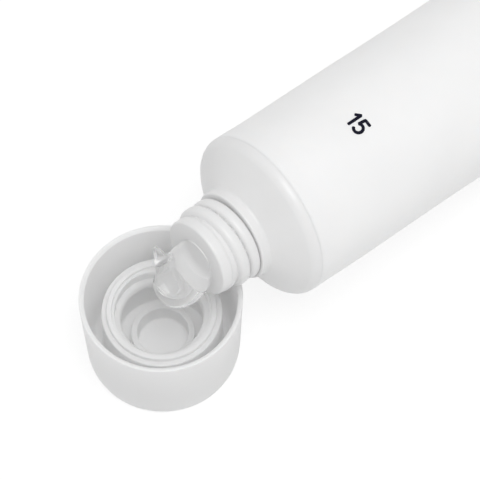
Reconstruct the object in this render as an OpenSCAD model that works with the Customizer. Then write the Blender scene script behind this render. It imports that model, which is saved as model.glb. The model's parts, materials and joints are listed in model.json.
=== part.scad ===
// Small gel tube that lies with its neck on the rim of its own upturned screw cap.
// The cap stands on its flat base at the origin, and the tube runs back along -X
// from its nozzle down to the flat crimp, which lies on the ground.

/* [Sleeve] */
// Outside diameter of the round part of the sleeve
tube_d = 19; // [17:0.5:24]
// Wall of the soft sleeve
sleeve_wall = 0.45; // [0.3:0.05:0.7]
// Length from the edge of the shoulder to the end of the crimp
sleeve_len = 95; // [85:1:120]
// Length behind the shoulder that stays round
round_len = 30; // [20:1:34]
// Length of the flat welded crimp
crimp_len = 5; // [3:0.5:8]

/* [Head] */
// Length of the sloping shoulder along the tube
shoulder_len = 3.5; // [3:0.1:4]
// Radius of the rounded outer edge of the shoulder
shoulder_round = 1.5; // [0.8:0.1:2]
// Thickness of the moulded head
head_wall = 0.9; // [0.7:0.1:1.2]
// Length of the head's skirt that the sleeve is welded over
skirt_len = 2; // [1:0.5:4]
// Diameter of the plain collar at the foot of the neck
neck_collar_d = 10.4; // [10.2:0.1:11]
// Length of that collar
neck_collar_len = 1.1; // [0.9:0.1:1.5]
// Length of the neck from the shoulder to its lip
neck_len = 5.9; // [5.6:0.1:7]
// Diameter over the neck's thread
thread_d = 9.8; // [9.6:0.1:10]
// Diameter at the root of the neck's thread
thread_root_d = 8.5; // [8.2:0.1:8.8]
// Pitch of the thread
thread_pitch = 1.5; // [1.25:0.05:1.6]
// Turns of thread on the neck
neck_turns = 2.25; // [1.5:0.25:2.25]
// Diameter of the plain lip
lip_d = 8.9; // [8.6:0.1:9.2]
// Length of the plain lip
lip_len = 1.1; // [0.9:0.1:1.2]
// Diameter of the passage inside the neck
neck_bore_d = 6.2; // [5:0.1:6.6]
// Diameter of the orifice
orifice_d = 4.4; // [2.5:0.1:4.8]
// Thickness of the lip around the orifice
orifice_len = 1.2; // [0.8:0.1:1.6]

/* [Cap] */
// Height of the cap
cap_h = 11.5; // [11:0.1:14]
// How far the cap's rim lies inside the edge of the tube
cap_inset = 0.75; // [0.5:0.05:0.9]
// Wall of the cap's skirt
cap_wall = 0.57; // [0.4:0.01:0.7]
// How far the skirt's radius narrows from its rim to its base
cap_taper = 0.6; // [0.3:0.05:1.2]
// Radius of the rounded edge of the base
cap_round = 1.4; // [1:0.1:2]
// Thickness of the cap's base
cap_floor = 1.2; // [0.9:0.1:1.6]
// Width of the flat top of the rim
rim_flat = 0.2; // [0.1:0.05:0.3]
// Wall of the threaded collar inside the cap, at its thin top
collar_wall = 0.85; // [0.6:0.05:1]
// How much wider the collar is below its thin top
collar_step = 0.55; // [0.2:0.05:0.8]
// Height of the collar's thin top
collar_top_h = 0.5; // [0.3:0.1:1]
// Turns of thread inside the collar
cap_turns = 1.75; // [1:0.25:2]
// How far the collar's top lies below the rim
collar_drop = 2.8; // [2.6:0.1:3.2]
// Outside diameter of the ring that seals on the lip
seal_d = 6.9; // [6:0.1:7.5]
// Width of that ring
seal_w = 0.7; // [0.5:0.1:0.9]

/* [Gel] */
// Length of the fill behind the shoulder
fill_len = 68; // [50:1:72]
// How far the bead stands out of the orifice
bead_out = 4.4; // [3:0.1:5]
// Width of the bead
bead_w = 6.6; // [5.4:0.1:7]
// How far the bead hangs below the middle of the orifice
bead_drop = 7; // [5.5:0.1:7]
// Length of the thin peak on the bead's side
bead_peak = 2.1; // [0.5:0.1:2.4]

/* [Fit] */
// Clearance around the screw thread
thread_gap = 0.15; // [0.1:0.05:0.3]
// Clearance between the closed cap and what it seats on
seat_gap = 0.05; // [0.02:0.01:0.15]
// Clearance between the gel and the walls that hold it
gel_gap = 0.05; // [0.02:0.01:0.1]
// Clearance between the neck's collar and the rim it lies on
rest_gap = 0.1; // [0.05:0.05:0.3]
// Sideways place of the tube on the cap
rest_offset = 1.4; // [0:0.1:2]
// How far ahead of the shoulder the rim meets the neck's collar
rest_ahead = 0.3; // [0.2:0.05:0.5]

/* [Hidden] */
$fn = 96;

// Radii
tube_r = tube_d / 2;
neck_collar_r = neck_collar_d / 2;
root_r = thread_root_d / 2;
crest_r = thread_d / 2;
lip_r = lip_d / 2;
neck_bore_r = neck_bore_d / 2;
orifice_r = orifice_d / 2;

// Places along the tube, from the edge of the shoulder towards the nozzle
collar_end = shoulder_len + neck_collar_len;
lip_end = shoulder_len + neck_len;
lip_start = lip_end - lip_len;
crimp_start = sleeve_len - crimp_len;

// The shoulder's slope is the tangent from the collar to the rounded edge
edge_r = tube_r - shoulder_round;
edge_reach = norm([edge_r - neck_collar_r, shoulder_len]);
edge_angle = atan2(shoulder_len, neck_collar_r - edge_r) - acos(shoulder_round / edge_reach);
shoulder_slope = tan(90 - edge_angle);
function shoulder_x(r) = r > edge_r + shoulder_round * cos(edge_angle)
    ? sqrt(pow(shoulder_round, 2) - pow(r - edge_r, 2))
    : shoulder_len - (r - neck_collar_r) * shoulder_slope;

// The head's skirt inside the sleeve
sleeve_facets = 64;
skirt_r = (tube_r - sleeve_wall) * cos(180 / sleeve_facets) - seat_gap;
skirt_in_r = skirt_r - 0.75 * head_wall;
function head_in_x(r) = shoulder_len - (r - neck_collar_r) * shoulder_slope
    - head_wall / sin(edge_angle);

// The cap, whose rim closes on the shoulder and whose ring seals on the lip
rim_r = tube_r - cap_inset;
rim_in_r = rim_r - cap_wall;
base_r = rim_r - cap_taper;
rim_seat_x = shoulder_x(rim_r - rim_flat);
rim_bevel = shoulder_slope * (cap_wall - rim_flat);
seal_top = cap_h - (lip_end - rim_seat_x - seat_gap);
collar_top = cap_h - collar_drop;
mouth_depth = max(0.1, collar_end - rim_seat_x - collar_drop + seat_gap);
mouth_r = neck_collar_r + thread_gap;
bore_r = crest_r + thread_gap;
ridge_r = root_r + thread_gap;
collar_r = bore_r + collar_wall;

// The tube at rest: its collar on the rim and the end of its crimp on the ground
rest_x = shoulder_len + rest_ahead;
rest_rise = cap_h + rest_gap;
rest_span = sleeve_len + rest_x;
rest_lever = neck_collar_r - sleeve_wall;
tilt = asin(rest_rise / norm([rest_span, rest_lever])) + atan(rest_lever / rest_span);
rest_plan = -sqrt(pow(rim_r, 2) - pow(rest_offset, 2));
tube_at = [
    rest_plan - neck_collar_r * sin(tilt) - rest_x * cos(tilt),
    rest_offset,
    rest_rise + neck_collar_r * cos(tilt) - rest_x * sin(tilt)
];

module on_tube() {
    translate(tube_at) rotate([0, -tilt, 0]) children();
}

module along_tube() {
    on_tube() rotate([0, 90, 0]) children();
}

// Skin over a list of rings that all have the same number of points
module skin(rings) {
    sides = len(rings[0]);
    last = len(rings) - 1;
    points = [for (ring = rings) for (p = ring) p];
    walls = [for (i = [0 : last - 1], j = [0 : sides - 1])
        let (k = (j + 1) % sides)
        each [
            [i * sides + j, i * sides + k, (i + 1) * sides + k],
            [i * sides + j, (i + 1) * sides + k, (i + 1) * sides + j]
        ]];
    front = [for (j = [0 : sides - 1]) sides - 1 - j];
    back = [for (j = [0 : sides - 1]) last * sides + j];
    polyhedron(points, concat(walls, [front, back]));
}

// Oval section of the flattening sleeve, whose way round stays the same
wedge_in = 0.25;
wedge_out = 0.1;
wedge_whole = 1 - (wedge_in + wedge_out) / 2;
function wedge(t) = (t < wedge_in ? t * t / (2 * wedge_in)
    : t < 1 - wedge_out ? t - wedge_in / 2
    : wedge_whole - pow(1 - t, 2) / (2 * wedge_out)) / wedge_whole;
function flatness(x) = x < round_len ? 0
    : x > crimp_start ? 1
    : wedge((x - round_len) / (crimp_start - round_len));
function half_thick(x) = tube_r + (sleeve_wall - tube_r) * flatness(x);
function half_width(x) = half_thick(x) + PI / 2 * (tube_r - half_thick(x));
function squareness(x) = x > crimp_start ? 0.2 : 1 - 0.25 * sin(180 * flatness(x));
function signed_pow(v, p) = sign(v) * pow(abs(v), p);
function oval(x, inset, p) = [for (j = [0 : sleeve_facets - 1])
    let (a = 360 * j / sleeve_facets)
    [-x, (half_width(x) - inset) * signed_pow(cos(a), p),
        (half_thick(x) - inset) * signed_pow(sin(a), p)]];

// Stations along the sleeve, closer together where it flattens
station_count = 18;
function flat_stations(to) = [for (i = [0 : station_count])
    round_len + (to - round_len) * i / station_count];
cavity_end = crimp_start - 0.1 * (crimp_start - round_len);
fill_end = min(fill_len, cavity_end - 2);

module sleeve() {
    crimp_ease = 0.6;
    outer = concat([0], flat_stations(crimp_start), [crimp_start + crimp_ease, sleeve_len]);
    outside = [for (x = outer) oval(x, 0, squareness(x))];
    inner = concat([-1, round_len], flat_stations(cavity_end));
    inside = [for (x = inner) oval(x, sleeve_wall, squareness(max(x, 0)))];
    color("white") on_tube() difference() {
        skin(outside);
        skin(inside);
    }
}

// Screw thread as one rib, with ends that run out over an eighth of a turn
rib_steps = 36;
module rib(foot_r, top_r, start, turns) {
    foot_w = 0.4 * thread_pitch;
    top_w = 0.12 * thread_pitch;
    steps = round(rib_steps * turns);
    run_out = rib_steps / 8;
    rings = [for (i = [0 : steps])
        let (
            a = 360 * i / rib_steps,
            z = start + thread_pitch * i / rib_steps,
            grow = min(1, i / run_out, (steps - i) / run_out),
            r = foot_r + (top_r - foot_r) * (0.3 + 0.7 * grow),
            w = foot_w * (0.5 + 0.5 * grow)
        )
        [for (p = [[foot_r, -w], [r, -top_w], [r, top_w], [foot_r, w]])
            [p[0] * cos(a), p[0] * sin(a), z + p[1]]]];
    skin(top_r > foot_r ? rings : [for (ring = rings) [ring[3], ring[2], ring[1], ring[0]]]);
}

rib_foot = 0.15;
neck_rib_start = lip_start - (neck_turns + 0.2) * thread_pitch;

module head() {
    edge = [for (a = [0 : edge_angle / 8 : edge_angle])
        [edge_r + shoulder_round * cos(a), shoulder_round * sin(a)]];
    lip_round = 0.35;
    outline = concat(
        edge,
        [
            [neck_collar_r, shoulder_len],
            [neck_collar_r, collar_end],
            [root_r, collar_end],
            [root_r, lip_start - (lip_r - root_r)],
            [lip_r, lip_start],
            [lip_r, lip_end - lip_round],
            [lip_r - lip_round, lip_end],
            [orifice_r, lip_end],
            [orifice_r, lip_end - orifice_len],
            [neck_bore_r, lip_end - orifice_len],
            [neck_bore_r, head_in_x(neck_bore_r)],
            [skirt_in_r, head_in_x(skirt_in_r)],
            [skirt_in_r, -skirt_len],
            [skirt_r, -skirt_len],
            [skirt_r, 0]
        ]
    );
    color("whitesmoke") along_tube() {
        rotate_extrude() polygon(outline);
        rib(root_r - rib_foot, crest_r, neck_rib_start, neck_turns);
    }
}

// Gel that fills the tube, passes the orifice and stands out as a sagging bead
function disc(x, r) = [for (j = [0 : sleeve_facets - 1])
    let (a = 360 * j / sleeve_facets)
    [x, r * cos(a), r * sin(a)]];

// Cross-section of the bead, t of the way from the lip to its end: a dome that
// swells and sags as it leaves the lip, with one thin peak on its upper side
bead_tall = 1.1;
peak_at = 134;
function swell(t, rate) = sin(90 * min(1, rate * t));
function bead_ring(t) =
    let (
        reach = sin(90 * t),
        dome = sqrt(max(0, 1 - pow(reach, 2.2))) + 0.02,
        r = bead_w / 2 * (0.86 + 0.14 * swell(t, 1.6)) * dome,
        sag = (bead_drop - bead_tall * bead_w / 2) * (0.5 + 0.5 * swell(t, 1.5)),
        side = -0.1 - 0.35 * t,
        peak = bead_peak * exp(-pow((reach - 0.62) / 0.2, 2))
    )
    [for (j = [0 : sleeve_facets - 1])
        let (
            a = 360 * j / sleeve_facets,
            out = r + peak * pow(max(0, cos(a - peak_at)), 60)
        )
        [lip_end + gel_gap + bead_out * reach, side + out * cos(a),
            bead_tall * out * sin(a) - sag]];

module gel() {
    full = [for (x = concat([skirt_len + gel_gap, round_len], flat_stations(fill_end)))
        oval(x, sleeve_wall + gel_gap, squareness(x))];
    skirt = skirt_in_r - gel_gap;
    bore = neck_bore_r - gel_gap;
    hole = orifice_r - gel_gap;
    shelf = lip_end - orifice_len - gel_gap;
    bead_steps = 12;
    rings = concat(
        [for (i = [len(full) - 1 : -1 : 0]) full[i]],
        [
            disc(-skirt_len - gel_gap, skirt),
            disc(head_in_x(skirt_in_r) - gel_gap, skirt),
            disc(head_in_x(neck_bore_r) - gel_gap, bore),
            disc(shelf, bore),
            disc(shelf, hole),
            disc(lip_end, hole)
        ],
        [for (i = [0 : bead_steps]) bead_ring(i / bead_steps)]
    );
    color("azure", 0.5) on_tube() skin(rings);
}

module cap() {
    lean = atan(cap_taper / (cap_h - cap_round));
    corner = base_r - cap_round;
    round_steps = 8;
    outer_round = [for (i = [0 : round_steps])
        let (a = -90 + (90 + lean) * i / round_steps)
        [corner + cap_round * cos(a), cap_round + cap_round * sin(a)]];
    inner_round_r = cap_round - cap_wall;
    inner_round = [for (i = [round_steps : -1 : 0])
        let (a = -90 + 90 * i / round_steps)
        [corner + inner_round_r * cos(a), cap_floor + inner_round_r * (1 + sin(a))]];
    foot_r = collar_r + collar_step;
    seal_r = seal_d / 2;
    outline = concat(
        [[0, 0]],
        outer_round,
        [
            [rim_r, cap_h],
            [rim_r - rim_flat, cap_h],
            [rim_in_r, cap_h - rim_bevel]
        ],
        inner_round,
        [
            [foot_r, cap_floor],
            [foot_r, collar_top - collar_top_h],
            [collar_r, collar_top - collar_top_h],
            [collar_r, collar_top],
            [mouth_r, collar_top],
            [mouth_r, collar_top - mouth_depth],
            [bore_r, collar_top - mouth_depth],
            [bore_r, cap_floor],
            [seal_r, cap_floor],
            [seal_r, seal_top],
            [seal_r - seal_w, seal_top],
            [seal_r - seal_w, cap_floor],
            [0, cap_floor]
        ]
    );
    rib_start = collar_top - mouth_depth - (cap_turns + 0.4) * thread_pitch;
    color("whitesmoke") {
        rotate_extrude() polygon(outline);
        rib(bore_r + rib_foot, ridge_r, rib_start, cap_turns);
    }
}

sleeve();
head();
gel();
cap();
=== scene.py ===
import json
import math

import bmesh
import bpy
from mathutils import Matrix, Vector, noise


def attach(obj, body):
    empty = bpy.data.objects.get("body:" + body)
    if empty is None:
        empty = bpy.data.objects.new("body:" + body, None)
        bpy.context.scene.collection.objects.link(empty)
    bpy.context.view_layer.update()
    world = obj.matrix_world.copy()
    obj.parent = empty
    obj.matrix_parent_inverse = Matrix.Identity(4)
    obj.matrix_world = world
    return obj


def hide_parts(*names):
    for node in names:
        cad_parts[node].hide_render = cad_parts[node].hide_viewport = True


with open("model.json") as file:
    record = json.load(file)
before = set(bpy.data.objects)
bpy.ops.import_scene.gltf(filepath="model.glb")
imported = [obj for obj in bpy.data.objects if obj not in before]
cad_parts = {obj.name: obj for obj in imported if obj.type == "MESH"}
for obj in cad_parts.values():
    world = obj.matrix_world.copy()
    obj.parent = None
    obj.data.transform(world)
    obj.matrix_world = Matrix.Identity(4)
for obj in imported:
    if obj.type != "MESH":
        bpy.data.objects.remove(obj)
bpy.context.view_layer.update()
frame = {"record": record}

MM = 0.001

# Camera, fitted to the photograph: a long lens that looks down on the cap and along the neck
IMAGE_SIZE = 480
FOCAL_PIXELS = 7000
SENSOR_MM = 36
CAMERA_AZIMUTH = math.radians(141.93)
CAMERA_ELEVATION = math.radians(62.6)
CAMERA_ROLL = math.radians(-2.51)
CAMERA_DISTANCE = 753.1 * MM
CAMERA_RIGHT = 8.67 * MM
CAMERA_UP = 11.07 * MM

# Sizes in millimetres, as in the CAD model
TUBE_R = 9.5
SLEEVE_WALL = 0.45
SLEEVE_LEN = 95
ROUND_LEN = 30
CRIMP_LEN = 5
WEDGE_IN = 0.25
WEDGE_OUT = 0.1
SHOULDER_LEN = 3.5
SHOULDER_ROUND = 1.5
HEAD_WALL = 0.9
SKIRT_LEN = 2
NECK_COLLAR_R = 5.2
NECK_COLLAR_LEN = 1.1
NECK_LEN = 5.9
LIP_R = 4.45
LIP_LEN = 1.1
ROOT_R = 4.25
CREST_R = 4.9
PITCH = 1.5
NECK_TURNS = 2.25
NECK_BORE_R = 3.1
ORIFICE_R = 2.2
ORIFICE_LEN = 1.2
CAP_H = 11.5
CAP_INSET = 0.75
CAP_WALL = 0.57
CAP_TAPER = 0.6
CAP_ROUND = 1.4
CAP_FLOOR = 1.2
RIM_FLAT = 0.2
COLLAR_WALL = 0.85
COLLAR_STEP = 0.55
COLLAR_TOP_H = 0.5
COLLAR_DROP = 2.8
CAP_TURNS = 1.75
SEAL_R = 3.45
SEAL_W = 0.7
THREAD_GAP = 0.15
SEAT_GAP = 0.05
GEL_GAP = 0.05
BEAD_OUT = 4.4
BEAD_W = 6.6
BEAD_DROP = 7
FILL_LEN = 68
SKIRT_GAP = 0.06
SKIRT_SHARE = 0.75
SOLID_SHARE = 0.1

# Form of a thread's ridge: how fast it runs out, its share of the pitch, its flat and its flank
RUN_OUT_RATE = 6
RIDGE_SHARE = 0.49
RIDGE_FLAT = 3.2
RIDGE_FLANK = 0.6

# Form of the bead: its shares of width and drop at the lip, its peak, its fold and its ripple
BEAD_TALL = 1.1
BEAD_LIP_WIDTH = 0.86
BEAD_LIP_DROP = 0.3
BEAD_LIP_SIDE = -0.1
BEAD_LEAN = -0.35
BEAD_DOME = 2.2
BEAD_PEAK = 2.1
PEAK_ANGLE = math.radians(134)
PEAK_REACH = 0.64
PEAK_WIDTH = 0.13
PEAK_SHARPNESS = 20
FOLD_ANGLE = math.radians(172)
FOLD_TWIST = 0.5
FOLD_WIDTH = 0.16
FOLD_DEPTH = 0.45
RIPPLE = 0.22

# Form of the sleeve: its soft waves, the ribs across its crimp and its hairline weld to the head
WAVE = 0.1
WAVE_LEN = 14
WAVE_SINK = 0.03
WAVE_END = 80
RIB_H = 0.045
RIB_SINK = 0.03
RIB_PITCH = 0.6
RIB_MARGIN = 0.8
RIB_HALF_LEN = 14.2
SEAM = 0.004

# Plain number printed on the sleeve
MARK_BACK = 10.7
MARK_TURN = math.radians(8)
MARK_TALL = 1.8
MARK_STROKE = 0.36
MARK_STEP = 0.05
MARK_OVERRUN = 0.6
MARK_INK = 0.008
MARK_LAYER = 0.0006
INK_COLOR = (0.002, 0.002, 0.01)
INK_PALE = (0.005, 0.005, 0.018)

# Points round each piece, and the turn past which its edges stay hard
SLEEVE_SIDES = 160
HEAD_SIDES = 224
CAP_SIDES = 256
GEL_SIDES = 128
CREASE = math.radians(50)

# Smallest ring about the axis of a turned piece
AXIS_R = 0.02

# A glow that stands in for the light that the tube's translucent walls let in behind the gel
WALL_GLOW = 0.22

# Studio: the world's level, the lamp, and the floor with its share of light and of glow when seen
WORLD_LEVEL = 0.7
LAMP_AT = (0.02, 0.2, 0.69)
LAMP_AIM = (0, 0, 0.01)
LAMP_SIZE = 0.35
LAMP_POWER = 2.2
FLOOR_HALF = 1.5
FLOOR_MATTE = 0.8
FLOOR_LIT = 0.25
FLOOR_GLOW = 0.78

LIP_END = SHOULDER_LEN + NECK_LEN
LIP_START = LIP_END - LIP_LEN
COLLAR_END = SHOULDER_LEN + NECK_COLLAR_LEN
CRIMP_START = SLEEVE_LEN - CRIMP_LEN
CAVITY_END = CRIMP_START - SOLID_SHARE * (CRIMP_START - ROUND_LEN)

# Place and direction of the tube, from the mount on its neck
neck_mount = next(m for m in frame["record"]["mounts"] if m["name"] == "neck_thread")
LIP_AT = Vector(neck_mount["pos_m"])
AXIS = Vector(neck_mount["axis"]).normalized()
SIDE = Vector((0, 1, 0))
UP = AXIS.cross(SIDE)


def make_camera():
    """The camera at the photograph's viewing angle, with its roll and its framing."""
    back = Vector((
        math.sin(CAMERA_AZIMUTH) * math.cos(CAMERA_ELEVATION),
        -math.cos(CAMERA_AZIMUTH) * math.cos(CAMERA_ELEVATION),
        math.sin(CAMERA_ELEVATION),
    ))
    right = Vector((math.cos(CAMERA_AZIMUTH), math.sin(CAMERA_AZIMUTH), 0))
    up = back.cross(right)
    place = back * CAMERA_DISTANCE + right * CAMERA_RIGHT + up * CAMERA_UP
    cos_roll = math.cos(CAMERA_ROLL)
    sin_roll = math.sin(CAMERA_ROLL)
    rolled_right = right * cos_roll + up * sin_roll
    rolled_up = up * cos_roll - right * sin_roll
    data = bpy.data.cameras.new("camera")
    data.sensor_width = SENSOR_MM
    data.lens = FOCAL_PIXELS / IMAGE_SIZE * SENSOR_MM
    data.clip_start = 0.05
    data.clip_end = 20
    camera = bpy.data.objects.new("camera", data)
    bpy.context.collection.objects.link(camera)
    turn = Matrix((rolled_right, rolled_up, back)).transposed().to_4x4()
    camera.matrix_world = Matrix.Translation(place) @ turn
    bpy.context.scene.camera = camera


def on_tube(x, side, up):
    """A point x millimetres ahead of the shoulder's edge, in the frame of the tube."""
    return LIP_AT + (AXIS * (x - LIP_END) + SIDE * side + UP * up) * MM


def on_cap(x, side, up):
    """A point x millimetres above the cap's base; side and up lie in the ground plane."""
    return Vector((-up, side, x)) * MM


def skin(name, rings, looped=False):
    """A closed mesh through rings of points, joined end to start or capped at both ends."""
    sides = len(rings[0])
    verts = [p for ring in rings for p in ring]
    faces = []
    spans = len(rings) if looped else len(rings) - 1
    for i in range(spans):
        low = i * sides
        high = (i + 1) % len(rings) * sides
        for j in range(sides):
            k = (j + 1) % sides
            faces.append((low + j, low + k, high + k, high + j))
    if not looped:
        faces.append(tuple(range(sides - 1, -1, -1)))
        faces.append(tuple((len(rings) - 1) * sides + j for j in range(sides)))
    mesh = bpy.data.meshes.new(name)
    mesh.from_pydata(verts, [], faces)
    mesh.validate()
    mesh.shade_smooth()
    piece = bpy.data.objects.new(name, mesh)
    bpy.context.collection.objects.link(piece)
    outward(piece)
    return piece


def outward(piece):
    """Turns the faces of a closed mesh outward."""
    work = bmesh.new()
    work.from_mesh(piece.data)
    bmesh.ops.recalc_face_normals(work, faces=work.faces)
    work.to_mesh(piece.data)
    work.free()


def rounded(corners, steps=5):
    """A closed outline through corners (r, x, fillet), each turned by an arc-like curve."""
    path = []
    count = len(corners)
    for i, (r, x, fillet) in enumerate(corners):
        here = Vector((r, x))
        before = Vector(corners[i - 1][:2])
        after = Vector(corners[(i + 1) % count][:2])
        if fillet <= 0:
            path.append(here)
            continue
        back = before - here
        on = after - here
        reach_back = min(fillet, 0.45 * back.length)
        reach_on = min(fillet, 0.45 * on.length)
        start = here + back.normalized() * reach_back
        end = here + on.normalized() * reach_on
        for k in range(steps + 1):
            t = k / steps
            path.append(start * (1 - t) ** 2 + here * 2 * t * (1 - t) + end * t * t)
    return path


def dense(path, step, chosen=lambda here, after: True):
    """The same closed outline, with the long stretches that are chosen cut into steps."""
    points = []
    for i, here in enumerate(path):
        after = path[(i + 1) % len(path)]
        cuts = max(1, math.ceil((after - here).length / step)) if chosen(here, after) else 1
        points += [here.lerp(after, k / cuts) for k in range(cuts)]
    return points


def lathe(name, outline, place, sides, radius, looped=True):
    """Turns an outline of (r, x) about an axis; radius may add a thread to each point."""
    rings = []
    for p in outline:
        ring = []
        for j in range(sides):
            a = 2 * math.pi * j / sides
            r = radius(p.x, p.y, a)
            ring.append(place(p.y, r * math.sin(a), -r * math.cos(a)))
        rings.append(ring)
    piece = skin(name, rings, looped)
    piece.data.set_sharp_from_angle(angle=CREASE)
    return piece


def smooth(t):
    """A soft step from 0 to 1."""
    t = min(1, max(0, t))
    return t * t * (3 - 2 * t)


def thread_height(x, a, start, turns):
    """How full a thread is, from 0 at its root to 1 on its crest."""
    best = 0
    for lap in range(int(turns) + 2):
        turn = a / (2 * math.pi) + lap
        if turn > turns:
            break
        run_out = smooth(min(turn, turns - turn) * RUN_OUT_RATE)
        off = min(1, abs(x - start - PITCH * turn) / (RIDGE_SHARE * PITCH))
        best = max(best, run_out * (1 - off ** RIDGE_FLAT) ** RIDGE_FLANK)
    return best


def shoulder_numbers():
    """The centre radius of the shoulder's round edge, and the angle where its cone starts."""
    edge_r = TUBE_R - SHOULDER_ROUND
    reach = math.hypot(edge_r - NECK_COLLAR_R, SHOULDER_LEN)
    angle = math.atan2(SHOULDER_LEN, NECK_COLLAR_R - edge_r) - math.acos(SHOULDER_ROUND / reach)
    return edge_r, angle


EDGE_R, EDGE_ANGLE = shoulder_numbers()
SLOPE = 1 / math.tan(EDGE_ANGLE)
RIM_R = TUBE_R - CAP_INSET
RIM_SEAT = SHOULDER_LEN - (RIM_R - RIM_FLAT - NECK_COLLAR_R) * SLOPE
SKIRT_R = TUBE_R - SLEEVE_WALL - SKIRT_GAP
SKIRT_IN_R = SKIRT_R - SKIRT_SHARE * HEAD_WALL


def head_in_x(r):
    """Where the inside of the shoulder's cone has the radius r."""
    return SHOULDER_LEN - (r - NECK_COLLAR_R) * SLOPE - HEAD_WALL / math.sin(EDGE_ANGLE)


def make_head():
    """The moulded shoulder and neck, with a narrow groove between the collar and the thread."""
    edge = []
    steps = 10
    for i in range(steps + 1):
        a = EDGE_ANGLE * i / steps
        edge.append((EDGE_R + SHOULDER_ROUND * math.cos(a), SHOULDER_ROUND * math.sin(a), 0))
    groove_r = ROOT_R - 0.1
    groove_w = 0.12
    corners = edge + [
        (NECK_COLLAR_R, SHOULDER_LEN, 0.25),
        (NECK_COLLAR_R, COLLAR_END, 0.22),
        (groove_r, COLLAR_END, 0.03),
        (groove_r, COLLAR_END + groove_w, 0),
        (ROOT_R, COLLAR_END + groove_w + 0.01, 0),
        (ROOT_R, LIP_START - 0.35, 0),
        (LIP_R, LIP_START - 0.05, 0.25),
        (LIP_R, LIP_END, 0.3),
        (ORIFICE_R, LIP_END, 0.15),
        (ORIFICE_R, LIP_END - ORIFICE_LEN, 0.1),
        (NECK_BORE_R, LIP_END - ORIFICE_LEN, 0.1),
        (NECK_BORE_R, head_in_x(NECK_BORE_R), 0.2),
        (SKIRT_IN_R, head_in_x(SKIRT_IN_R), 0.2),
        (SKIRT_IN_R, -SKIRT_LEN, 0),
        (SKIRT_R, -SKIRT_LEN, 0),
        (SKIRT_R, 0, 0),
    ]
    start = LIP_START - (NECK_TURNS + 0.2) * PITCH

    def on_neck(here, after):
        return abs(here.x - after.x) < 0.01 and abs(here.x - ROOT_R) < 0.01 and here.y >= COLLAR_END

    def with_thread(r, x, a):
        if x < COLLAR_END or r < ROOT_R - 0.05:
            return r
        crest = ROOT_R + (CREST_R - ROOT_R) * thread_height(x, a, start, NECK_TURNS)
        return max(r, crest)

    outline = dense(dense(rounded(corners), step=1.2), step=0.07, chosen=on_neck)
    return lathe("moulded_head", outline, on_tube, HEAD_SIDES, with_thread)


def make_cap():
    """The screw cap, from the middle of its base round its skirt, collar and seal to its floor."""
    rim_in = RIM_R - CAP_WALL
    base_r = RIM_R - CAP_TAPER
    collar_r = CREST_R + THREAD_GAP + COLLAR_WALL
    foot_r = collar_r + COLLAR_STEP
    bore_r = CREST_R + THREAD_GAP
    mouth_r = NECK_COLLAR_R + THREAD_GAP
    collar_top = CAP_H - COLLAR_DROP
    mouth_depth = COLLAR_END - RIM_SEAT - COLLAR_DROP + SEAT_GAP
    seal_top = CAP_H - (LIP_END - RIM_SEAT - SEAT_GAP)
    bevel = SLOPE * (CAP_WALL - RIM_FLAT)
    corners = [
        (AXIS_R, 0, 0),
        (base_r - CAP_ROUND, 0, 0),
        (base_r, 0, CAP_ROUND * 1.25),
        (RIM_R, CAP_H, 0.14),
        (RIM_R - RIM_FLAT - 0.05, CAP_H, 0.08),
        (rim_in, CAP_H - bevel, 0.1),
        (base_r - CAP_WALL, CAP_FLOOR, 0.8),
        (foot_r, CAP_FLOOR, 0.3),
        (foot_r, collar_top - COLLAR_TOP_H, 0.15),
        (collar_r, collar_top - COLLAR_TOP_H, 0.12),
        (collar_r, collar_top, 0.15),
        (mouth_r, collar_top, 0.12),
        (mouth_r, collar_top - mouth_depth, 0.1),
        (bore_r, collar_top - mouth_depth, 0.1),
        (bore_r, CAP_FLOOR, 0.25),
        (SEAL_R, CAP_FLOOR, 0.25),
        (SEAL_R, seal_top, 0.16),
        (SEAL_R - SEAL_W, seal_top, 0.16),
        (SEAL_R - SEAL_W, CAP_FLOOR, 0.3),
        (AXIS_R, CAP_FLOOR, 0),
    ]
    start = collar_top - mouth_depth - (CAP_TURNS + 0.4) * PITCH

    def in_bore(here, after):
        return abs(here.x - bore_r) < 0.01 and abs(after.x - bore_r) < 0.01

    def with_thread(r, x, a):
        inside = abs(r - bore_r) < 0.4 and CAP_FLOOR + 0.3 < x < collar_top - mouth_depth
        if not inside:
            return r
        return r - (CREST_R - ROOT_R) * thread_height(x, a, start, CAP_TURNS)

    outline = dense(dense(rounded(corners, steps=6), step=1), step=0.08, chosen=in_bore)
    floor_at = max(i for i, p in enumerate(outline) if p.y >= CAP_FLOOR - 0.001)
    profile = outline[:floor_at + 1]
    return lathe("screw_cap", profile, on_cap, CAP_SIDES, with_thread, looped=False)


def wedge(t):
    """A straight rise from 0 to 1 with a soft start and end."""
    whole = 1 - (WEDGE_IN + WEDGE_OUT) / 2
    if t < WEDGE_IN:
        return t * t / (2 * WEDGE_IN) / whole
    if t < 1 - WEDGE_OUT:
        return (t - WEDGE_IN / 2) / whole
    return (whole - (1 - t) ** 2 / (2 * WEDGE_OUT)) / whole


def flatness(back):
    """How flat the sleeve is, from 0 where it is round to 1 in its crimp."""
    if back < ROUND_LEN:
        return 0
    if back > CRIMP_START:
        return 1
    return wedge((back - ROUND_LEN) / (CRIMP_START - ROUND_LEN))


def oval(back, inset, angle, squareness):
    """A point of the sleeve's section, whose girth stays about the same as it flattens."""
    flat = flatness(back)
    thick = TUBE_R + (SLEEVE_WALL - TUBE_R) * flat
    wide = thick + math.pi / 2 * (TUBE_R - thick)
    cos_a = math.cos(angle)
    sin_a = math.sin(angle)
    side = (wide - inset) * math.copysign(abs(cos_a) ** squareness, cos_a)
    up = (thick - inset) * math.copysign(abs(sin_a) ** squareness, sin_a)
    return side, up


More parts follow.
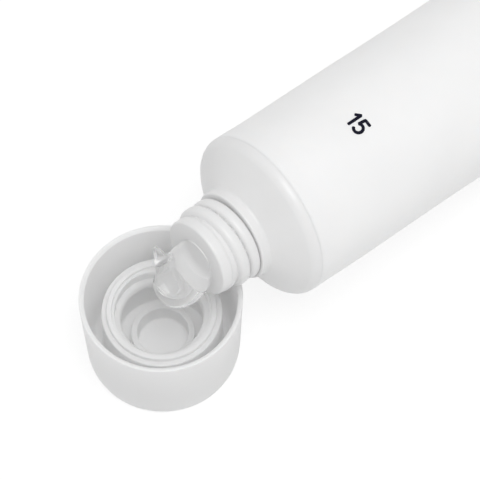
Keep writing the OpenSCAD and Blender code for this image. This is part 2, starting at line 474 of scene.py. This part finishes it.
def squareness_at(back):
    """The section's exponent: 1 is an ellipse, and the crimp comes near a rectangle."""
    body = 1 - 0.25 * math.sin(math.pi * flatness(back))
    crimp = smooth((back - CRIMP_START + 1) / 1.5)
    return body + (0.2 - body) * crimp


def sag(back, angle):
    """Small soft waves of the filled sleeve, in millimetres along its surface normal."""
    place = Vector((back / WAVE_LEN, 1.2 * math.cos(angle), 1.2 * math.sin(angle)))
    fade = smooth(back / 5) * (1 - smooth((back - WAVE_END) / 8))
    return WAVE * noise.noise(place) * fade - WAVE_SINK * fade


def make_sleeve():
    """The sleeve's skin, from the end of its cavity forward to the seam and back outside."""
    angles = [2 * math.pi * j / SLEEVE_SIDES for j in range(SLEEVE_SIDES)]
    cavity_step = 2.2
    inside = [CAVITY_END - cavity_step * i for i in range(int(CAVITY_END / cavity_step))]
    rings = []
    for back in inside + [0.1, SEAM]:
        square = squareness_at(back)
        rings.append([on_tube(-back, *oval(back, SLEEVE_WALL, a, square)) for a in angles])
    outside = [SEAM, 0.04, 0.1, 0.25, 0.5] + [1 + 0.97 * i for i in range(92)]
    outside += [CRIMP_START + 0.4 + 0.1 * i for i in range(46)]
    for back in outside:
        ring = []
        rib = 0
        if back > CRIMP_START + RIB_MARGIN:
            rib = RIB_H * math.cos(2 * math.pi * (back - CRIMP_START) / RIB_PITCH) - RIB_SINK
        inset = SEAM * (1 - smooth(back / 0.25))
        for a in angles:
            side, up = oval(back, inset - sag(back, a), a, squareness_at(back))
            up += rib * math.copysign(1, up) * smooth((RIB_HALF_LEN - abs(side)) / 0.5)
            ring.append(on_tube(-back, side, up))
        rings.append(ring)
    piece = skin("soft_sleeve", rings)
    piece.data.set_sharp_from_angle(angle=CREASE)
    return piece


def on_sleeve(back, turn, lift):
    """A point lift millimetres above the sleeve, turn radians from its top towards +Y."""
    angle = math.pi / 2 - turn
    out = lift + sag(back, angle)
    return on_tube(-back, *oval(back, -out, angle, squareness_at(back)))


def evenly(path, step):
    """Points a step apart along an open path."""
    points = [Vector(path[0])]
    for start, end in zip(path, path[1:]):
        start = Vector(start)
        end = Vector(end)
        cuts = max(1, math.ceil((end - start).length / step))
        points += [start.lerp(end, (k + 1) / cuts) for k in range(cuts)]
    return points


def bow(cx, cy, rx, ry, start, end, steps=14):
    """Points along part of an ellipse, its angles in degrees from the reading direction."""
    turns = [math.radians(start + (end - start) * k / steps) for k in range(steps + 1)]
    return [(cx + rx * math.cos(a), cy + ry * math.sin(a)) for a in turns]


def mark_strokes():
    """The number as strokes: along the line of reading, and up from its baseline."""
    one = [(-0.95, 1.35), (-0.5, MARK_TALL), (-0.5, 0)]
    five_bar = [(0.95, MARK_TALL), (0.2, MARK_TALL), (0.12, 0.98)]
    five_bowl = bow(0.5, 0.56, 0.5, 0.56, 135, -140)
    return [one, five_bar, five_bowl]


def make_mark():
    """One thin closed ribbon of ink for each stroke, with round ends, laid on the sleeve."""
    work = bmesh.new()
    half = MARK_STROKE / 2
    for layer, stroke in enumerate(mark_strokes()):
        points = evenly(stroke, MARK_STEP)
        first = points[0] + (points[0] - points[1]).normalized() * half * MARK_OVERRUN
        last = points[-1] + (points[-1] - points[-2]).normalized() * half * MARK_OVERRUN
        points = evenly([first] + points + [last], MARK_STEP)
        top = MARK_INK + layer * MARK_LAYER
        rows = []
        for i, p in enumerate(points):
            along = points[min(i + 1, len(points) - 1)] - points[max(i - 1, 0)]
            across = Vector((-along.y, along.x)).normalized()
            to_end = min(i, len(points) - 1 - i) * MARK_STEP
            short = max(0, 1 - (to_end + 0.02) / half)
            wide = half * math.sqrt(1 - short * short)
            row = []
            for sign, lift in ((1, top), (-1, top), (-1, -MARK_INK), (1, -MARK_INK)):
                q = p + across * wide * sign
                along_tube = MARK_BACK + q.y - MARK_TALL / 2
                turn = MARK_TURN + q.x / TUBE_R
                row.append(work.verts.new(on_sleeve(along_tube, turn, lift)))
            rows.append(row)
        for low, high in zip(rows, rows[1:]):
            for j in range(4):
                k = (j + 1) % 4
                work.faces.new((low[j], low[k], high[k], high[j]))
        work.faces.new(rows[0])
        work.faces.new(reversed(rows[-1]))
    bmesh.ops.recalc_face_normals(work, faces=work.faces)
    mesh = bpy.data.meshes.new("printed_number")
    work.to_mesh(mesh)
    work.free()
    piece = bpy.data.objects.new("printed_number", mesh)
    bpy.context.collection.objects.link(piece)
    return piece


def ink():
    """Dark printing ink, a little uneven in its cover."""
    material, bsdf = shader("navy_ink", INK_COLOR, 0.4)
    nodes = material.node_tree.nodes
    links = material.node_tree.links
    bsdf.inputs["Specular IOR Level"].default_value = 0.15
    place = nodes.new("ShaderNodeTexCoord")
    cover = nodes.new("ShaderNodeTexNoise")
    cover.inputs["Scale"].default_value = 3200
    cover.inputs["Detail"].default_value = 3
    links.new(place.outputs["Object"], cover.inputs["Vector"])
    tones = nodes.new("ShaderNodeValToRGB")
    tones.color_ramp.elements[0].color = (*INK_COLOR, 1)
    tones.color_ramp.elements[1].color = (*INK_PALE, 1)
    links.new(cover.outputs["Fac"], tones.inputs["Fac"])
    links.new(tones.outputs["Color"], bsdf.inputs["Base Color"])
    return material


def swell(t, rate):
    """A rise from 0 to 1 that slows down towards its end."""
    return math.sin(math.pi / 2 * min(1, rate * t))


def bead_point(t, a):
    """A point of the bead, t of the way from the lip to its end, at angle a round it."""
    reach = math.sin(math.pi / 2 * t)
    dome = math.sqrt(max(0, 1 - reach ** BEAD_DOME))
    width = BEAD_LIP_WIDTH + (1 - BEAD_LIP_WIDTH) * swell(t, 1.6)
    fall = BEAD_LIP_DROP + (1 - BEAD_LIP_DROP) * swell(t, 1.5)
    drop = (BEAD_DROP - BEAD_TALL * BEAD_W / 2) * fall
    side = BEAD_LIP_SIDE + BEAD_LEAN * t
    peak = BEAD_PEAK * math.exp(-((reach - PEAK_REACH) / PEAK_WIDTH) ** 2)
    out = BEAD_W / 2 * width * dome + peak * max(0, math.cos(a - PEAK_ANGLE)) ** PEAK_SHARPNESS
    fold = math.exp(-((a - FOLD_ANGLE - FOLD_TWIST * (t - 0.5)) / FOLD_WIDTH) ** 2)
    out -= FOLD_DEPTH * fold * swell(t, 2) * dome
    ripple = noise.noise(Vector((2.2 * t, 0.9 * math.cos(a), 0.9 * math.sin(a))))
    out += RIPPLE * ripple * dome
    return (
        LIP_END + GEL_GAP + BEAD_OUT * reach,
        side + out * math.cos(a),
        BEAD_TALL * out * math.sin(a) - drop,
    )


def make_gel():
    """The fill, its column in the orifice and its bead; faces before the bead are wetted plastic."""
    angles = [2 * math.pi * j / GEL_SIDES for j in range(GEL_SIDES)]
    inset = SLEEVE_WALL + GEL_GAP
    fill_steps = 23
    rings = []
    for i in range(fill_steps + 1):
        back = FILL_LEN + (SKIRT_LEN + GEL_GAP - FILL_LEN) * i / fill_steps
        rings.append([on_tube(-back, *oval(back, inset, a, squareness_at(back))) for a in angles])
    shelf = LIP_END - ORIFICE_LEN - GEL_GAP
    inner = [
        (-SKIRT_LEN - GEL_GAP, SKIRT_IN_R - GEL_GAP),
        (head_in_x(SKIRT_IN_R) - GEL_GAP, SKIRT_IN_R - GEL_GAP),
        (head_in_x(NECK_BORE_R) - GEL_GAP, NECK_BORE_R - GEL_GAP),
        (shelf, NECK_BORE_R - GEL_GAP),
        (shelf, ORIFICE_R - GEL_GAP),
        (LIP_END - 0.1, ORIFICE_R - GEL_GAP),
        (LIP_END, ORIFICE_R - 0.5 * GEL_GAP),
    ]
    for x, r in inner:
        rings.append([on_tube(x, r * math.cos(a), r * math.sin(a)) for a in angles])
    steps = 56
    for i in range(steps):
        t = i / steps
        rings.append([on_tube(*bead_point(t, a)) for a in angles])
    rings.append([on_tube(*bead_point(0.9999, a)) for a in angles])
    piece = skin("clear_gel", rings)
    piece.data.materials.append(gel_material())
    piece.data.materials.append(wetted_plastic())
    bead_start = 0.9 * GEL_GAP * MM
    for face in piece.data.polygons:
        nearest = min(AXIS.dot(piece.data.vertices[v].co - LIP_AT) for v in face.vertices)
        if nearest < bead_start:
            face.material_index = 1
    return piece


def grey(level):
    return (level, level, level)


def shader(name, color, roughness):
    """A material with its shader's colour and roughness set."""
    material = bpy.data.materials.new(name)
    material.use_nodes = True
    bsdf = material.node_tree.nodes["Principled BSDF"]
    bsdf.inputs["Base Color"].default_value = (*color, 1)
    bsdf.inputs["Roughness"].default_value = roughness
    return material, bsdf


def plastic(name, color, shade, roughness, grain, translucency, depth, passes):
    """Moulded white plastic: slow mottling of the colour, fine grain in gloss and surface."""
    material, bsdf = shader(name, color, roughness)
    nodes = material.node_tree.nodes
    links = material.node_tree.links
    place = nodes.new("ShaderNodeTexCoord")
    mottle = nodes.new("ShaderNodeTexNoise")
    mottle.inputs["Scale"].default_value = 160
    mottle.inputs["Detail"].default_value = 4
    links.new(place.outputs["Object"], mottle.inputs["Vector"])
    tones = nodes.new("ShaderNodeValToRGB")
    tones.color_ramp.elements[0].position = 0.3
    tones.color_ramp.elements[0].color = (*shade, 1)
    tones.color_ramp.elements[1].position = 0.7
    tones.color_ramp.elements[1].color = (*color, 1)
    links.new(mottle.outputs["Fac"], tones.inputs["Fac"])
    links.new(tones.outputs["Color"], bsdf.inputs["Base Color"])
    fine = nodes.new("ShaderNodeTexNoise")
    fine.inputs["Scale"].default_value = 2600
    fine.inputs["Detail"].default_value = 3
    links.new(place.outputs["Object"], fine.inputs["Vector"])
    spread = nodes.new("ShaderNodeMapRange")
    spread.inputs["To Min"].default_value = roughness - 0.06
    spread.inputs["To Max"].default_value = roughness + 0.06
    links.new(fine.outputs["Fac"], spread.inputs["Value"])
    links.new(spread.outputs["Result"], bsdf.inputs["Roughness"])
    bump = nodes.new("ShaderNodeBump")
    bump.inputs["Strength"].default_value = grain
    bump.inputs["Distance"].default_value = 0.02 * MM
    links.new(fine.outputs["Fac"], bump.inputs["Height"])
    links.new(bump.outputs["Normal"], bsdf.inputs["Normal"])
    bsdf.inputs["Subsurface Weight"].default_value = translucency
    bsdf.inputs["Subsurface Radius"].default_value = (1, 0.95, 0.9)
    bsdf.inputs["Subsurface Scale"].default_value = depth * MM
    if passes > 0:
        let_through(material, bsdf, color, passes)
    return material


def let_through(material, bsdf, color, passes):
    """Lets a share of the light pass through each face of a thin translucent wall."""
    nodes = material.node_tree.nodes
    links = material.node_tree.links
    through = nodes.new("ShaderNodeBsdfTranslucent")
    through.inputs["Color"].default_value = (*color, 1)
    mix = nodes.new("ShaderNodeMixShader")
    mix.inputs["Fac"].default_value = passes
    links.new(bsdf.outputs["BSDF"], mix.inputs[1])
    links.new(through.outputs["BSDF"], mix.inputs[2])
    links.new(mix.outputs["Shader"], nodes["Material Output"].inputs["Surface"])


def gel_material():
    """Clear wet gel with a slight haze."""
    material, bsdf = shader("clear_gel", grey(1), 0.02)
    bsdf.inputs["Transmission Weight"].default_value = 0.88
    bsdf.inputs["IOR"].default_value = 1.42
    return material


def wetted_plastic():
    """Plastic seen through the gel that wets it, with the glow that stands in for its light."""
    material, bsdf = shader("wetted_plastic", grey(0.6), 0.5)
    bsdf.inputs["Specular IOR Level"].default_value = 0
    bsdf.inputs["Emission Color"].default_value = (1, 1, 1, 1)
    bsdf.inputs["Emission Strength"].default_value = WALL_GLOW
    return material


def dress(piece, node, material=None):
    """Puts a piece in the place of its CAD node, with its material if it has none yet."""
    if material:
        piece.data.materials.append(material)
    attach(piece, "root")
    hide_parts(node)


def make_floor():
    """A floor that lights the object as matte grey, and shows as a pale ground with its shadow."""
    mesh = bpy.data.meshes.new("studio_floor")
    corners = [(FLOOR_HALF * x, FLOOR_HALF * y, 0) for x, y in ((-1, -1), (1, -1), (1, 1), (-1, 1))]
    mesh.from_pydata(corners, [], [(0, 1, 2, 3)])
    floor = bpy.data.objects.new("studio_floor", mesh)
    bpy.context.collection.objects.link(floor)
    material = bpy.data.materials.new("studio_floor")
    material.use_nodes = True
    nodes = material.node_tree.nodes
    links = material.node_tree.links
    nodes.clear()
    out = nodes.new("ShaderNodeOutputMaterial")
    matte = nodes.new("ShaderNodeBsdfDiffuse")
    matte.inputs["Color"].default_value = (*grey(FLOOR_MATTE), 1)
    lit = nodes.new("ShaderNodeBsdfDiffuse")
    lit.inputs["Color"].default_value = (*grey(FLOOR_LIT), 1)
    glow = nodes.new("ShaderNodeEmission")
    glow.inputs["Strength"].default_value = FLOOR_GLOW
    seen = nodes.new("ShaderNodeAddShader")
    links.new(lit.outputs[0], seen.inputs[0])
    links.new(glow.outputs[0], seen.inputs[1])
    path = nodes.new("ShaderNodeLightPath")
    straight = nodes.new("ShaderNodeMath")
    straight.operation = "MAXIMUM"
    links.new(path.outputs["Is Camera Ray"], straight.inputs[0])
    links.new(path.outputs["Is Transmission Ray"], straight.inputs[1])
    clear = nodes.new("ShaderNodeMath")
    clear.operation = "MAXIMUM"
    links.new(straight.outputs[0], clear.inputs[0])
    links.new(path.outputs["Is Glossy Ray"], clear.inputs[1])
    mix = nodes.new("ShaderNodeMixShader")
    links.new(clear.outputs[0], mix.inputs["Fac"])
    links.new(matte.outputs[0], mix.inputs[1])
    links.new(seen.outputs[0], mix.inputs[2])
    links.new(mix.outputs[0], out.inputs["Surface"])
    mesh.materials.append(material)


def make_lamp():
    """One large soft lamp above the object."""
    data = bpy.data.lights.new("key", "AREA")
    data.size = LAMP_SIZE
    data.energy = LAMP_POWER
    lamp = bpy.data.objects.new("key", data)
    bpy.context.collection.objects.link(lamp)
    lamp.location = LAMP_AT
    lamp.rotation_euler = (Vector(LAMP_AT) - Vector(LAMP_AIM)).to_track_quat("Z", "Y").to_euler()


def make_world():
    """Even white light from all round."""
    world = bpy.data.worlds.new("studio")
    world.use_nodes = True
    background = world.node_tree.nodes["Background"]
    background.inputs["Color"].default_value = (1, 1, 1, 1)
    background.inputs["Strength"].default_value = WORLD_LEVEL
    bpy.context.scene.world = world


make_camera()
make_world()
make_floor()
make_lamp()

sleeve_plastic = plastic(
    "sleeve_plastic", grey(0.84), grey(0.82), roughness=0.38, grain=0.3,
    translucency=0.4, depth=0.5, passes=0,
)
head_plastic = plastic(
    "head_plastic", grey(0.8), grey(0.77), roughness=0.35, grain=0.3,
    translucency=0.2, depth=0.3, passes=0.04,
)
cap_plastic = plastic(
    "cap_plastic", grey(0.98), grey(0.96), roughness=0.32, grain=0.3,
    translucency=0.2, depth=0.5, passes=0.4,
)

dress(make_sleeve(), "sleeve", sleeve_plastic)
dress(make_head(), "head", head_plastic)
dress(make_cap(), "cap", cap_plastic)
dress(make_gel(), "gel")
mark = make_mark()
mark.data.materials.append(ink())
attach(mark, "root")

bpy.context.scene.view_settings.view_transform = "Standard"
